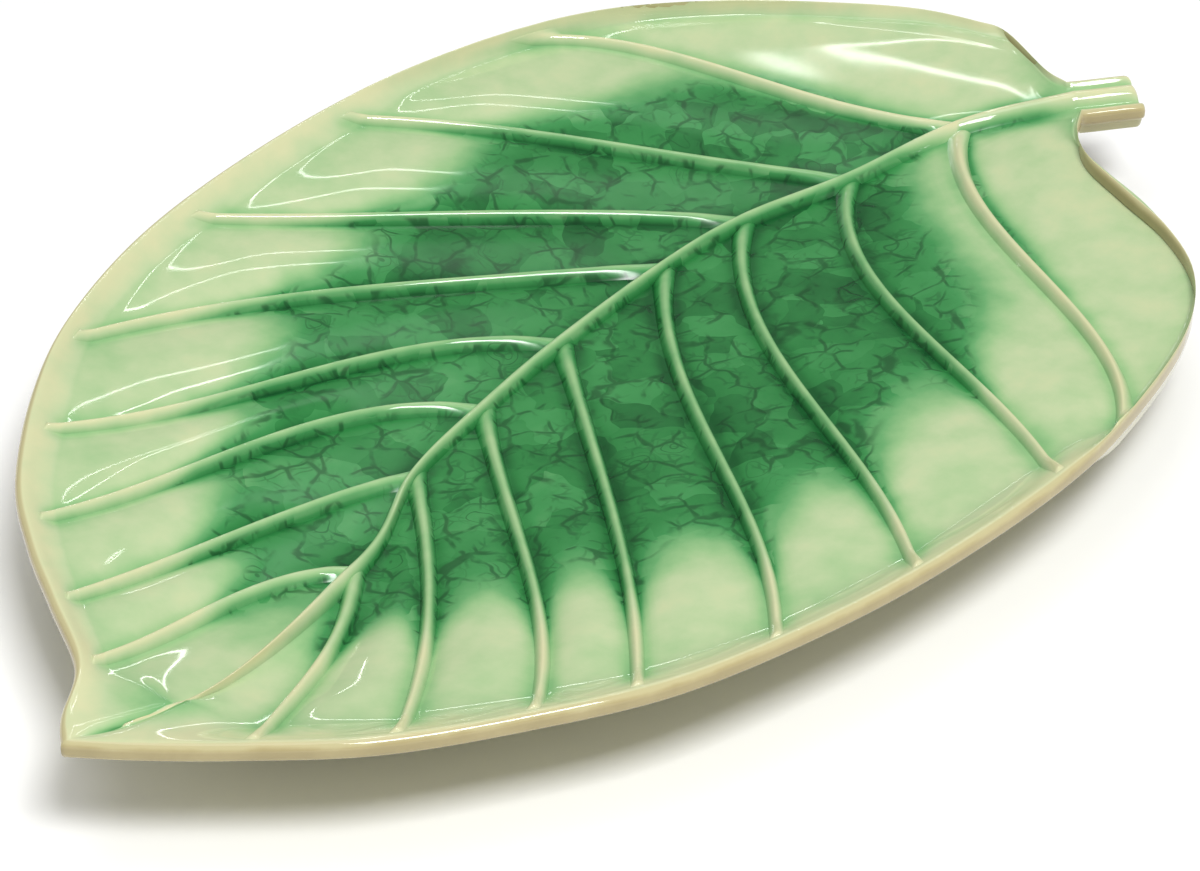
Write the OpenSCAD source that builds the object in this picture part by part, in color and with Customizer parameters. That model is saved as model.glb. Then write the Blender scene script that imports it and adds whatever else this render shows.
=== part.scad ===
// Leaf shaped serving plate in glazed stoneware.
// A clay leaf with a turned up rim carries a midrib and sixteen side veins laid on as clay coils.
// Glaze lies between the veins, dark where it pools in the well and pale towards the rim.
// +X runs from the drip tip to the stem, +Z is up, and the plate stands on its foot ring at z = 0.

/* [Leaf] */
// Length from the tip to the far lobe and the stem
leaf_l = 282; // [200:1:340]
// Width across the widest part of the blade
leaf_w = 180; // [130:1:220]
// Length of the stem beyond the notch
stem_l = 13; // [8:0.5:22]
// Width of the stem on the left of the midrib
stem_left_w = 6.5; // [5:0.1:8]
// Width of the stem on the right of the midrib
stem_right_w = 7; // [5.5:0.1:8.5]

/* [Heights] */
// Height of the lip over the table
plate_h = 23; // [20:0.1:28]
// Height of the foot ring
foot_h = 4.5; // [3:0.1:6]
// Thickness of the floor in the middle of the well
floor_t = 5.5; // [4.5:0.1:7]
// Thickness of the wall outside the foot ring
wall_t = 5; // [4:0.1:6]
// Rise of the wall from the crease to the lip
wall_rise = 4.5; // [3.5:0.1:6]
// Dip of the lip where the stem leaves it
stem_dip = 2.2; // [1.5:0.1:3]
// Rise of the midrib from the middle of the well to the stem
stem_rise = 9.5; // [8:0.1:10.5]

/* [Rim] */
// Width of the sloping wall between the crease and the lip
band_w = 10; // [8:0.1:13]
// Length of the channel in the drip tip
tip_channel_l = 20; // [14:0.5:26]
// Thickness of the lip
lip_t = 3.4; // [3:0.1:5]
// Radius of the lip's rounded edges
lip_r = 1.3; // [0.6:0.1:1.6]

/* [Veins] */
// Half width of the midrib at the stem
midrib_half_w = 2.5; // [1.8:0.1:3.2]
// Height of the midrib over the clay floor
midrib_h = 2.6; // [2:0.1:3.5]
// Half width of a side vein where it leaves the midrib
vein_half_w = 1.8; // [1.2:0.1:2.2]
// Height of a side vein over the clay floor
vein_h = 2.1; // [1.7:0.1:2.8]
// Rise of the clay pillow between two veins
pillow_h = 1.5; // [0.6:0.1:2.2]

/* [Glaze] */
// Thickness of the pale glaze on the rim and the pillows
thin_glaze_t = 0.5; // [0.4:0.05:0.8]
// Thickness of the green glaze pooled in the well
pool_glaze_t = 1.2; // [0.9:0.05:1.5]

/* [Foot] */
// Length of the oval foot ring
foot_l = 128; // [90:1:150]
// Width of the oval foot ring
foot_w = 66; // [50:1:76]
// Width of the foot ring's tread
foot_tread = 5; // [3:0.1:8]
// Bevel along the foot ring's bottom edges
foot_bevel = 0.8; // [0.4:0.1:1.2]

/* [Hidden] */

left = 0;
right = 1;
veins = 8;
tip_line = veins + 1;

// Where the side veins leave the midrib, from the notch to the inner end of the tip
midrib_shares = [
    [0.938, -0.163], [0.888, -0.072], [0.803, -0.008], [0.711, 0.040], [0.619, 0.060],
    [0.519, 0.064], [0.428, 0.057], [0.337, 0.034], [0.247, 0.000], [0.065, 0.004]
];
// The lip from the notch, round each lobe, to the tip
left_lip_shares = [
    [0.971, -0.095], [0.991, -0.028], [1.000, 0.022], [0.989, 0.089], [0.961, 0.183],
    [0.911, 0.289], [0.844, 0.383], [0.759, 0.444], [0.652, 0.486], [0.532, 0.500],
    [0.418, 0.489], [0.326, 0.447], [0.241, 0.381], [0.170, 0.300], [0.121, 0.217],
    [0.089, 0.142], [0.060, 0.072], [0.032, 0.031], [0.000, 0.000]
];
right_lip_shares = [
    [0.897, -0.203], [0.873, -0.236], [0.848, -0.300], [0.819, -0.378], [0.777, -0.439],
    [0.720, -0.486], [0.638, -0.506], [0.532, -0.506], [0.429, -0.486], [0.333, -0.450],
    [0.241, -0.389], [0.163, -0.308], [0.096, -0.211], [0.050, -0.122], [0.021, -0.056],
    [0.000, 0.000]
];
// The place along the lip that each vein points at, counted in lip points from the notch
vein_ends = [
    [0, 7.4, 9.4, 10.6, 12.1, 13.3, 14.5, 15.9, 17.3, 19],
    [0, 7.3, 8.0, 9.25, 10.4, 11.25, 12, 12.75, 13.7, 16]
];
// The headings of each vein at the midrib and at the lip, in degrees
vein_starts = [
    [44, 128, 111, 108, 103, 107, 110, 134, 144, 182],
    [224, 184, 203, 209, 217, 226, 231, 236, 233, 182]
];
vein_finishes = [
    [44, 142, 146, 125, 133, 136, 153, 158, 186, 182],
    [224, 200, 226, 219, 212, 216, 210, 214, 232, 182]
];
vein_pull_share = 0.36;

// Heights along the leaf as shares of the named rises, at the notch, at each vein and at the tip
midrib_rise_shares = [1, 0.5, 0.14, 0.04, 0, 0, 0, 0.03, 0.1, 0.74];
wall_rise_shares = [0.18, 0.95, 1, 1, 1, 1, 1, 1, 1, 1.3];
// The band narrows to the stem's border at the notch
band_shares = [0.22, 0.95, 1, 1, 1, 1, 1, 1, 1, 1];
// The lip dips over this share of the lobe's line
dip_share = 1.1;
midrib_width_shares = [1, 1, 0.96, 0.92, 0.88, 0.84, 0.8, 0.74, 0.68, 0.4];
midrib_height_shares = [1, 1, 1, 0.97, 0.95, 0.92, 0.9, 0.87, 0.84, 0.62];

// Rows from the midrib's edge to the crease, and from there up the wall
floor_row_shares = [0, 0.09, 0.22, 0.36, 0.5, 0.64, 0.78, 0.9, 1];
green_row = 6;
wall_row_shares = [0.3, 0.65, 1];
crease_row = len(floor_row_shares);
lip_row = crease_row + len(wall_row_shares);
vein_end_row = crease_row + 2;
// Rows of the underside, from the lip back to the midrib
under_row_shares = [0.9, 0.64, 0.5, 0.36, 0.22];
// Columns across one panel, from vein to vein, and across the long panel of each lobe
panel_shares = [0, 0.14, 0.32, 0.5, 0.68, 0.86, 1];
lobe_shares = [0, 0.07, 0.14, 0.22, 0.3, 0.38, 0.46, 0.54, 0.63, 0.72, 0.81, 0.9, 1];
stem_shares = [-1, -0.66, -0.33];
// The oval on which the underside is flat, as a share of the foot ring's size
flat_share = 1.26;
curl_share = 0.5;
foot_centre_shares = [0.5, 0.01];
foot_steps = 72;
// Height along a side vein as a share of its full height, for each row
vein_height_shares = [0.45, 0.9, 1, 1, 1, 0.97, 0.9, 0.8, 0.68, 0.52, 0.3];
vein_end_width_share = 0.6;
// The arch of a vein: place across it and height, as shares
arch_shares = [[-0.62, 0.74], [0, 1], [0.62, 0.74]];
probe = 0.04;

stoneware = "#d9c9a0";
vein_cream = "#e6deb2";
pale_green = "#b9d3a0";
deep_green = "#2f8a55";

// A smooth curve through the points p, at place u
function spline(p, u) =
    let (
        n = len(p) - 1,
        i = min(floor(max(u, 0)), n - 1),
        f = u - i,
        b = p[i],
        c = p[i + 1],
        a = i > 0 ? p[i - 1] : 2 * b - c,
        d = i + 2 <= n ? p[i + 2] : 2 * c - b
    )
    b + ((c - a) * f + (2 * a - 5 * b + 4 * c - d) * f * f + (3 * b - a - 3 * c + d) * f * f * f) / 2;
function blend(a, b, f) = a * (1 - f) + b * f;
function smooth(f) = let (g = min(max(f, 0), 1)) g * g * (3 - 2 * g);
function heading(a) = [cos(a), sin(a)];
function across(v) = [-v[1], v[0]] / norm(v);
function at_leaf(shares) = [for (p = shares) [p[0] * leaf_l, p[1] * leaf_w]];
// A value listed per vein, read at any place along the leaf
function along(list, t) = spline(list, min(max(t, 0), tip_line));

midrib_points = at_leaf(midrib_shares);
stem_way = heading(vein_starts[left][0] - 90);
stem_sides = [stem_left_w, stem_right_w];
side_signs = [1, -1];
root_corners = [for (s = [left, right]) midrib_points[0] + stem_sides[s] * side_signs[s] * across(stem_way)];
lips = [
    concat([root_corners[left]], at_leaf(left_lip_shares)),
    concat([root_corners[right]], at_leaf(right_lip_shares))
];

// A point on the midrib's line. Places below 0 run out along the stem
function midrib_at(t) = t < 0 ? midrib_points[0] - stem_way * stem_l * t : spline(midrib_points, t);
function lip_at(side, t) =
    t < 0 ? root_corners[side] - stem_way * stem_l * t : spline(lips[side], along(vein_ends[side], t));
function start_at(side, t) = heading(along(vein_starts[side], t));
function finish_at(side, t) = heading(along(vein_finishes[side], t));
// The line of growth at place t: the share s of the way from the midrib to the lip
function grow(side, t, s) =
    let (
        a = midrib_at(t),
        d = lip_at(side, t),
        pull = norm(d - a) * vein_pull_share,
        b = a + pull * start_at(side, t),
        c = d - pull * finish_at(side, t),
        r = 1 - s
    )
    a * r * r * r + 3 * b * r * r * s + 3 * c * r * s * s + d * s * s * s;

function line_length(side, t) = norm(lip_at(side, t) - midrib_at(t));
function band_at(side, t) =
    let (near_tip = smooth(t - veins), plain = band_w * along(band_shares, t))
    min(blend(plain, tip_channel_l, near_tip), line_length(side, t));
function midrib_half_at(t) = midrib_half_w * along(midrib_width_shares, t);
// Shares along the line of growth at which the midrib's edge, the crease and the lip's inner edge lie
function edge_share(side, t) = min(midrib_half_at(t) / line_length(side, t), crease_share(side, t));
function crease_share(side, t) = max(0, 1 - band_at(side, t) / line_length(side, t));
function lip_share(side, t) = 1 - lip_r / line_length(side, t);
function row_share(side, t, j) =
    j == 0 ? 0
    : j <= crease_row ? blend(edge_share(side, t), crease_share(side, t), floor_row_shares[j - 1])
    : blend(crease_share(side, t), lip_share(side, t), wall_row_shares[j - crease_row - 1]);

// Half width of side vein k on row j, and the step in t that it takes
function vein_half_at(j) = vein_half_w * blend(1, vein_end_width_share, min(j / vein_end_row, 1));
function vein_step(side, k, j) =
    (k < 1 || k > veins) ? 0
    : let (
        s = row_share(side, k, j),
        away = (grow(side, k + probe, s) - grow(side, k - probe, s)) / (2 * probe),
        way = grow(side, k, min(s + probe, 1)) - grow(side, k, max(s - probe, 0)),
        clear = abs(away * across(way))
    )
    vein_half_at(j) / clear;

// Columns: [panel, share across it] from the stem's end to the tip, and [k] for the middle of vein k
columns = concat(
    [for (f = stem_shares) [-1, f]],
    [for (f = lobe_shares) [0, f]],
    [for (k = [1 : veins]) each concat([[k, -1]], [for (f = panel_shares) [k, f]])]
);
column_count = len(columns);
function first_column(k) =
    k == 0 ? len(stem_shares)
    : len(stem_shares) + len(lobe_shares) + (k - 1) * (len(panel_shares) + 1);
function column_t(side, c, j) =
    let (k = columns[c][0], f = columns[c][1])
    k < 0 ? f
    : f < 0 ? k
    : blend(k + vein_step(side, k, j), k + 1 - vein_step(side, k + 1, j), f);
// Both halves of the leaf meet along the midrib at the mean of their own places
function seam_t(c) = (column_t(left, c, 1) + column_t(right, c, 1)) / 2;

floor_z = foot_h + floor_t;
function midrib_z(t) = floor_z + stem_rise * along(midrib_rise_shares, t);
function lip_z(t) = plate_h - stem_dip * (1 - smooth(t / dip_share));
function crease_z(t) = lip_z(t) - wall_rise * along(wall_rise_shares, t);
// Height of the plain clay face, without its pillows
function face_z(side, t, s) =
    let (sc = crease_share(side, t), sl = lip_share(side, t))
    s <= sc ? blend(midrib_z(t), crease_z(t), sc > 0 ? (s / sc) * (s / sc) : 0)
    : blend(crease_z(t), lip_z(t), smooth((s - sc) / (sl - sc)) * 0.35 + (s - sc) / (sl - sc) * 0.65);
// The pillow rises between two veins and dies out at the midrib and at the crease
function pillow_at(c, j) =
    let (k = columns[c][0], f = columns[c][1], far = (k == 0 || k == veins) ? 0.5 : 1)
    (k < 0 || f < 0 || j <= 1 || j >= lip_row) ? 0
    : pillow_h * far * sin(180 * f) * smooth(floor_row_shares[min(j, crease_row) - 1] / 0.64)
        * (j < crease_row ? 1 : j == crease_row ? 0.5 : 0.15);

function clay_point(side, c, j) =
    let (t = j == 0 ? seam_t(c) : column_t(side, c, j), s = row_share(side, t, j), p = grow(side, t, s))
    [p[0], p[1], face_z(side, t, s) + pillow_at(c, j)];
clay_faces = [for (side = [left, right]) [for (c = [0 : column_count - 1]) [for (j = [0 : lip_row]) clay_point(side, c, j)]]];

// The blade's box in plan puts the origin in the middle of the base
reach = [for (side = [left, right]) each [for (c = [0 : column_count - 1]) lip_at(side, column_t(side, c, lip_row))]];
reach_x = [for (p = reach) p[0]];
reach_y = [for (p = reach) p[1]];
middle = [(min(reach_x) + max(reach_x)) / 2, (min(reach_y) + max(reach_y)) / 2, 0];

foot_centre = [foot_centre_shares[0] * leaf_l, foot_centre_shares[1] * leaf_w];
function oval_reach(p) =
    norm([(p[0] - foot_centre[0]) / (foot_l * flat_share / 2), (p[1] - foot_centre[1]) / (foot_w * flat_share / 2)]);
function under_z(p, z) = blend(foot_h, z, smooth((oval_reach(p) - 1) / curl_share));

// One cross section of the clay from the midrib over the lip and back underneath
function clay_ring(side, c) =
    let (
        t = column_t(side, c, lip_row),
        len_t = line_length(side, t),
        top = lip_z(t),
        out = grow(side, t, 1),
        shoulder = grow(side, t, 1 - 0.3 * lip_r / len_t),
        inside = grow(side, t, lip_share(side, t)),
        under = [
            for (f = under_row_shares)
                let (
                    s = blend(edge_share(side, t), crease_share(side, t), f),
                    p = grow(side, t, s)
                )
                [p[0], p[1], under_z(p, face_z(side, t, s) - wall_t)]
        ],
        heel = grow(side, t, crease_share(side, t)),
        seam = seam_t(c),
        keel = midrib_at(seam)
    )
    concat(
        clay_faces[side][c],
        [
            [shoulder[0], shoulder[1], top - 0.3 * lip_r],
            [out[0], out[1], top - lip_r],
            [out[0], out[1], top - lip_t + lip_r],
            [inside[0], inside[1], top - lip_t],
            [heel[0], heel[1], under_z(heel, crease_z(t) - wall_t)]
        ],
        under,
        [[keel[0], keel[1], under_z(keel, midrib_z(seam) - wall_t)]]
    );

// Triangles from a grid of points, leaving out those that have shrunk to a line
function flat_enough(a, b, c) = norm(cross(b - a, c - a)) < 1e-7;
function quad(a, b, c, d, flip) =
    let (tris = flip ? [[a, c, b], [a, d, c]] : [[a, b, c], [a, c, d]])
    [for (t = tris) if (!flat_enough(t[0], t[1], t[2])) t];
function grid_triangles(g, flip) = [
    for (i = [0 : len(g) - 2])
        for (j = [0 : len(g[i]) - 2])
            each quad(g[i][j], g[i + 1][j], g[i + 1][j + 1], g[i][j + 1], flip)
];
module soup(triangles) {
    points = [for (t = triangles) each t];
    translate(-middle)
        polyhedron(points, [for (i = [0 : len(triangles) - 1]) [3 * i, 3 * i + 1, 3 * i + 2]]);
}

module clay_body() {
    rings = [for (side = [left, right]) [for (c = [0 : column_count - 1]) clay_ring(side, c)]];
    loop = concat(rings[left][0], [for (j = [len(rings[right][0]) - 2 : -1 : 1]) rings[right][0][j]]);
    hub = [for (i = [0 : 2]) (rings[left][0][0][i] + rings[left][0][len(rings[left][0]) - 1][i]) / 2];
    cap = [for (j = [0 : len(loop) - 1]) [hub, loop[j], loop[(j + 1) % len(loop)]]];
    color(stoneware)
        soup(concat(grid_triangles(rings[left], false), grid_triangles(rings[right], true), cap));
}

// An oval of points round the foot ring's centre
function oval(length, width) = [
    for (i = [0 : foot_steps - 1])
        let (a = 360 * i / foot_steps)
        foot_centre + [cos(a) * length / 2, sin(a) * width / 2]
];
module oval_ring(inset, height) {
    linear_extrude(height)
        difference() {
            polygon(oval(foot_l - 2 * inset, foot_w - 2 * inset));
            polygon(oval(foot_l - 2 * (foot_tread - inset), foot_w - 2 * (foot_tread - inset)));
        }
}
module foot_ring() {
    color(stoneware)
        translate(-middle) {
            oval_ring(foot_bevel, foot_bevel);
            translate([0, 0, foot_bevel])
                oval_ring(0, foot_h - foot_bevel);
        }
}

// Thickness of the glaze at a point of the face
function glaze_t(j) = blend(pool_glaze_t, thin_glaze_t, smooth((j - green_row + 3) / 3));
function raised(p, h) = [p[0], p[1], p[2] + h];

// A ridge over three lines of face points: its bed, the glaze line at each side, and an arch
function ridge_ring(l, m, r, h, g) =
    concat(
        [m, l, raised(l, g)],
        [
            for (a = arch_shares)
                let (side = a[0] < 0 ? l : r, p = blend(m, side, abs(a[0])))
                raised(p, max(h * a[1], g))
        ],
        [raised(r, g), r]
    );
function closed(rings) = [for (r = rings) concat(r, [r[0]])];
function end_cap(ring, flip) = [
    for (i = [1 : len(ring) - 2])
        let (t = flip ? [ring[0], ring[i + 1], ring[i]] : [ring[0], ring[i], ring[i + 1]])
        if (!flat_enough(t[0], t[1], t[2])) t
];
module ridge(rings, flip) {
    last = len(rings) - 1;
    soup(concat(grid_triangles(closed(rings), flip), end_cap(rings[0], flip), end_cap(rings[last], !flip)));
}

module midrib() {
    rings = [
        for (c = [0 : column_count - 1])
            let (
                t = column_t(left, c, 1),
                h = midrib_h * along(midrib_height_shares, t),
                l = clay_faces[left][c],
                r = clay_faces[right][c]
            )
            if (c < column_count - 1) ridge_ring(l[1], l[0], r[1], h, glaze_t(1))
    ];
    color(vein_cream)
        ridge(rings, true);
}
module side_vein(side, k) {
    c = first_column(k);
    grid = clay_faces[side];
    rings = [
        for (j = [1 : vein_end_row])
            ridge_ring(grid[c - 1][j], grid[c][j], grid[c + 1][j], vein_h * vein_height_shares[j - 1], glaze_t(j))
    ];
    color(vein_cream)
        ridge(rings, side == left);
}

// A layer of glaze over the cells of the face from row j0 to j1, where wanted(c, j) says so
function wanted(c, j) =
    c >= 0 && c < column_count - 1 && j >= 1 && j < lip_row
    && (j >= vein_end_row || !(columns[c][1] == -1 && columns[c][0] > 0 || columns[c + 1][1] == -1));
function is_green(c, j) = j < green_row && columns[c][0] >= 1;
function in_layer(c, j, green) = wanted(c, j) && is_green(c, j) == green;
module glaze_layer(side, green) {
    g = clay_faces[side];
    up = [for (c = [0 : column_count - 1]) [for (j = [0 : lip_row]) raised(g[c][j], glaze_t(j))]];
    cells = [for (c = [0 : column_count - 2]) for (j = [1 : lip_row - 1]) if (in_layer(c, j, green)) [c, j]];
    flip = side == right;
    soup([
        for (n = cells)
            let (c = n[0], j = n[1])
            each concat(
                quad(up[c][j], up[c + 1][j], up[c + 1][j + 1], up[c][j + 1], flip),
                quad(g[c][j], g[c + 1][j], g[c + 1][j + 1], g[c][j + 1], !flip),
                in_layer(c - 1, j, green) ? [] : quad(g[c][j], up[c][j], up[c][j + 1], g[c][j + 1], flip),
                in_layer(c + 1, j, green) ? [] : quad(g[c + 1][j], up[c + 1][j], up[c + 1][j + 1], g[c + 1][j + 1], !flip),
                in_layer(c, j - 1, green) ? [] : quad(g[c][j], g[c + 1][j], up[c + 1][j], up[c][j], flip),
                in_layer(c, j + 1, green) ? [] : quad(g[c][j + 1], g[c + 1][j + 1], up[c + 1][j + 1], up[c][j + 1], !flip)
            )
    ]);
}

clay_body();
foot_ring();
midrib();
for (k = [1 : veins]) {
    side_vein(left, k);
    side_vein(right, k);
}
color(deep_green) glaze_layer(left, true);  // green_glaze_left
color(deep_green) glaze_layer(right, true);  // green_glaze_right
color(pale_green) glaze_layer(left, false);  // pale_glaze_left
color(pale_green) glaze_layer(right, false);  // pale_glaze_right
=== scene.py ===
"""Looks of a leaf shaped stoneware plate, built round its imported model."""
import logging
import math
from dataclasses import dataclass, field
from enum import Enum
from typing import Sequence

import bpy
import numpy as np
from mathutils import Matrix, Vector


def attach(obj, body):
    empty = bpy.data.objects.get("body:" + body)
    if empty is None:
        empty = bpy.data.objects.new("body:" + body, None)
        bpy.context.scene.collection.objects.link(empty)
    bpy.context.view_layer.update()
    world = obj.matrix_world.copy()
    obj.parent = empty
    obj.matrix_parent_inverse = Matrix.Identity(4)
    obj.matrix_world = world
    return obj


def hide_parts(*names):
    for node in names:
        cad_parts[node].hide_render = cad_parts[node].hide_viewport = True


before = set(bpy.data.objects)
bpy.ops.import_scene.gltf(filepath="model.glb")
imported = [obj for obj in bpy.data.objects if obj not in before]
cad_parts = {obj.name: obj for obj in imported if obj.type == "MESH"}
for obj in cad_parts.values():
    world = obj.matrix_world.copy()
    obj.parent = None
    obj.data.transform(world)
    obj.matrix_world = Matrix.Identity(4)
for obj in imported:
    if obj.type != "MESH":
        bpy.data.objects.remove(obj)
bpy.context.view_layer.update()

LOG = logging.getLogger("leaf_plate")
MM = 0.001
BODY = "root"
VEINS = 8
TIP_LINE = VEINS + 1
MERGE_GAP = 2e-7
NODES_PER_ROW = 12
NODE_STEP = (220, -260)

Array = np.ndarray
Rgb = tuple[int, int, int]
Socket = bpy.types.NodeSocket
Outputs = bpy.types.bpy_prop_collection
Piece = bpy.types.Object


class Side(Enum):
    """The half of the leaf on each side of the midrib."""

    LEFT = 0
    RIGHT = 1

    @property
    def sign(self) -> int:
        """+1 on the left of the midrib, -1 on the right."""
        return 1 if self is Side.LEFT else -1


def smooth(f: Array) -> Array:
    """Eases a share from 0 to 1 with flat ends."""
    g = np.clip(f, 0.0, 1.0)
    return g * g * (3.0 - 2.0 * g)


def blend(a: Array, b: Array, f: Array) -> Array:
    """Mixes a and b by the share f."""
    return a * (1.0 - f) + b * f


def ease(value: Array, span: tuple) -> Array:
    """Rises smoothly from 0 to 1. The span is the value that it starts at and its width."""
    start, width = span
    return smooth((value - start) / width)


def bell(distance: Array, width: float) -> Array:
    """1 at no distance, falling off to 0 over a few widths."""
    return np.exp(-((distance / width) ** 2))


def heading(degrees: Array) -> Array:
    """Unit directions in plan for headings in degrees."""
    angle = np.radians(degrees)
    return np.stack([np.cos(angle), np.sin(angle)], axis=-1)


def with_height(plan: Array, z: Array) -> Array:
    """Joins points in plan and their heights."""
    return np.concatenate([plan, z[..., None]], axis=-1)


def spline(points: Sequence, u: Array) -> Array:
    """Reads a smooth curve through listed points or values.

    Args:
        points: Points or plain values, one per whole number of u.
        u: Places along the list.

    Returns:
        One point or value for each place.
    """
    p = np.asarray(points, dtype=float)
    last = len(p) - 1
    i = np.clip(np.floor(u).astype(int), 0, last - 1)
    f = np.asarray(u - i, dtype=float)
    before = i > 0
    after = i + 2 <= last
    if p.ndim > 1:
        f = f[..., None]
        before = before[..., None]
        after = after[..., None]
    b = p[i]
    c = p[i + 1]
    a = np.where(before, p[np.maximum(i - 1, 0)], 2 * b - c)
    d = np.where(after, p[np.minimum(i + 2, last)], 2 * c - b)
    squared = (2 * a - 5 * b + 4 * c - d) * f**2
    cubed = (3 * b - a - 3 * c + d) * f**3
    return b + ((c - a) * f + squared + cubed) / 2


def steady_spline(values: Sequence, u: Array) -> Array:
    """Cubic through rising values that never turns back between two of them."""
    knots = np.asarray(values, float)
    steps = np.diff(knots)
    inner = 2 * steps[:-1] * steps[1:] / (steps[:-1] + steps[1:])
    slopes = np.concatenate([steps[:1], inner, steps[-1:]])
    i = np.clip(np.floor(u).astype(int), 0, len(knots) - 2)
    q = u - i
    r = 1.0 - q
    start = knots[i] * (1 + 2 * q) * r * r + slopes[i] * q * r * r
    return start + knots[i + 1] * q * q * (3 - 2 * q) - slopes[i + 1] * q * q * r


@dataclass(frozen=True)
class LeafForm:
    """The shape of the leaf, in millimetres, with the tip at the origin until it is centred."""

    leaf_l: float = 282.0
    leaf_w: float = 178.9
    stem_l: float = 13.0
    stem_left_w: float = 6.5
    stem_right_w: float = 7.0
    plate_h: float = 23.0
    foot_h: float = 4.5
    floor_t: float = 5.5
    wall_t: float = 5.0
    wall_rise: float = 4.5
    stem_dip: float = 1.2
    stem_lift: float = 0.4
    stem_rise: float = 10.0
    band_w: float = 10.0
    tip_channel_l: float = 20.0
    floor_end_w: float = 0.8
    lip_t: float = 3.4
    lip_r: float = 1.3
    midrib_half_w: float = 2.5
    midrib_h: float = 2.6
    vein_half_w: float = 1.8
    vein_h: float = 2.1
    pillow_h: float = 1.5
    foot_l: float = 128.0
    foot_w: float = 66.0
    flat_share: float = 1.26
    curl_share: float = 0.5
    foot_centre_shares: tuple = (0.5, 0.01)
    pull_share: float = 0.36
    dip_share: float = 1.1
    wall_straight: float = 0.65
    vein_crease_taper: float = 0.82
    vein_root_taper: float = 0.09
    vein_wall_taper: float = 0.28
    vein_end_w_share: float = 0.6
    most_step: float = 0.3
    clear_probe: float = 0.04
    lobe_pillow_share: float = 0.5
    pillow_power: float = 0.8
    tip_pillow_power: float = 1.7
    pillow_full_run: float = 0.64
    pillow_fades: tuple = ((0.82, 0.18), (1.0, 0.7))
    outline_steps: int = 1501
    midrib_shares: tuple = (
        (0.942, -0.158), (0.890, -0.063), (0.803, -0.006), (0.720, 0.046), (0.643, 0.066),
        (0.527, 0.071), (0.437, 0.065), (0.354, 0.051), (0.253, -0.001), (0.040, -0.020),
        (-0.080, 0.300),
    )
    lip_shares: tuple = (
        (
            (0.966, -0.096), (0.996, -0.018), (0.996, 0.022), (0.985, 0.094), (0.955, 0.180),
            (0.907, 0.288), (0.844, 0.383), (0.762, 0.446), (0.650, 0.491), (0.533, 0.503),
            (0.421, 0.490), (0.320, 0.446), (0.243, 0.385), (0.168, 0.298), (0.124, 0.219),
            (0.091, 0.144), (0.056, 0.064), (0.018, 0.026), (0.000, 0.000),
        ),
        (
            (0.897, -0.203), (0.872, -0.236), (0.847, -0.300), (0.818, -0.376), (0.777, -0.441),
            (0.717, -0.484), (0.636, -0.505), (0.540, -0.510), (0.428, -0.485), (0.334, -0.446),
            (0.238, -0.386), (0.164, -0.307), (0.099, -0.220), (0.051, -0.125), (0.020, -0.054),
            (0.000, 0.000),
        ),
    )
    vein_ends: tuple = (
        (0, 7.8, 9.3, 10.7, 12.3, 13.4, 14.6, 16.0, 17.0, 19),
        (0, 7.5, 8.1, 9.3, 10.4, 11.3, 12.0, 12.9, 13.9, 16),
    )
    vein_starts: tuple = (
        (44, 120, 116, 119, 136, 119, 118, 152, 132, 162),
        (224, 203, 203, 206, 210, 224, 222, 224, 217, 162),
    )
    vein_finishes: tuple = (
        (44, 154, 140, 137, 168, 145, 161, 171, 169, 162),
        (224, 194, 223, 217, 209, 213, 206, 205, 203, 162),
    )
    midrib_rise_shares: tuple = (1, 0.5, 0.14, 0.04, 0, 0, 0, 0.03, 0.12, 1.12)
    wall_rise_shares: tuple = (
        (0.18, 0.9, 0.9, 0.85, 0.8, 0.7, 0.65, 0.65, 0.7, 0.5),
        (0.18, 0.95, 1, 1, 1, 1, 1, 1, 1, 0.5),
    )
    band_shares: tuple = (
        (0.22, 0.95, 0.95, 0.9, 0.8, 0.7, 0.65, 0.6, 0.6, 1),
        (0.22, 0.95, 1, 1, 1, 1, 1, 1, 1, 1),
    )
    midrib_width_shares: tuple = (1, 1, 0.96, 0.92, 0.88, 0.84, 0.8, 0.74, 0.68, 0.55)
    midrib_height_shares: tuple = (1, 1, 1, 0.97, 0.95, 0.92, 0.9, 0.87, 0.84, 0.62)

    def along(self, values: Sequence, t: Array) -> Array:
        """Reads a value listed per vein at places along the leaf."""
        return spline(values, np.clip(t, 0.0, TIP_LINE))

    @property
    def midrib_points(self) -> Array:
        """Points of the midrib at the notch, at each pair of veins and at the tip."""
        return np.array(self.midrib_shares) * [self.leaf_l, self.leaf_w]

    @property
    def stem_way(self) -> Array:
        """Direction in which the stem leaves the leaf."""
        return heading(self.vein_starts[0][0] - 90.0)

    def root_corner(self, side: Side) -> Array:
        """Corner where the stem's border meets the lobe."""
        width = self.stem_left_w if side is Side.LEFT else self.stem_right_w
        across = np.array([-self.stem_way[1], self.stem_way[0]])
        return self.midrib_points[0] + width * side.sign * across

    def lip_points(self, side: Side) -> Array:
        """Points of the lip from the stem's corner to the tip."""
        points = np.array(self.lip_shares[side.value]) * [self.leaf_l, self.leaf_w]
        return np.vstack([self.root_corner(side), points])

    def midrib_at(self, t: Array) -> Array:
        """Points on the midrib's line. Places below 0 run out along the stem."""
        on_stem = self.midrib_points[0] - self.stem_way * (self.stem_l * t)[..., None]
        return np.where((t < 0)[..., None], on_stem, spline(self.midrib_points, np.maximum(t, 0)))

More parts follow.
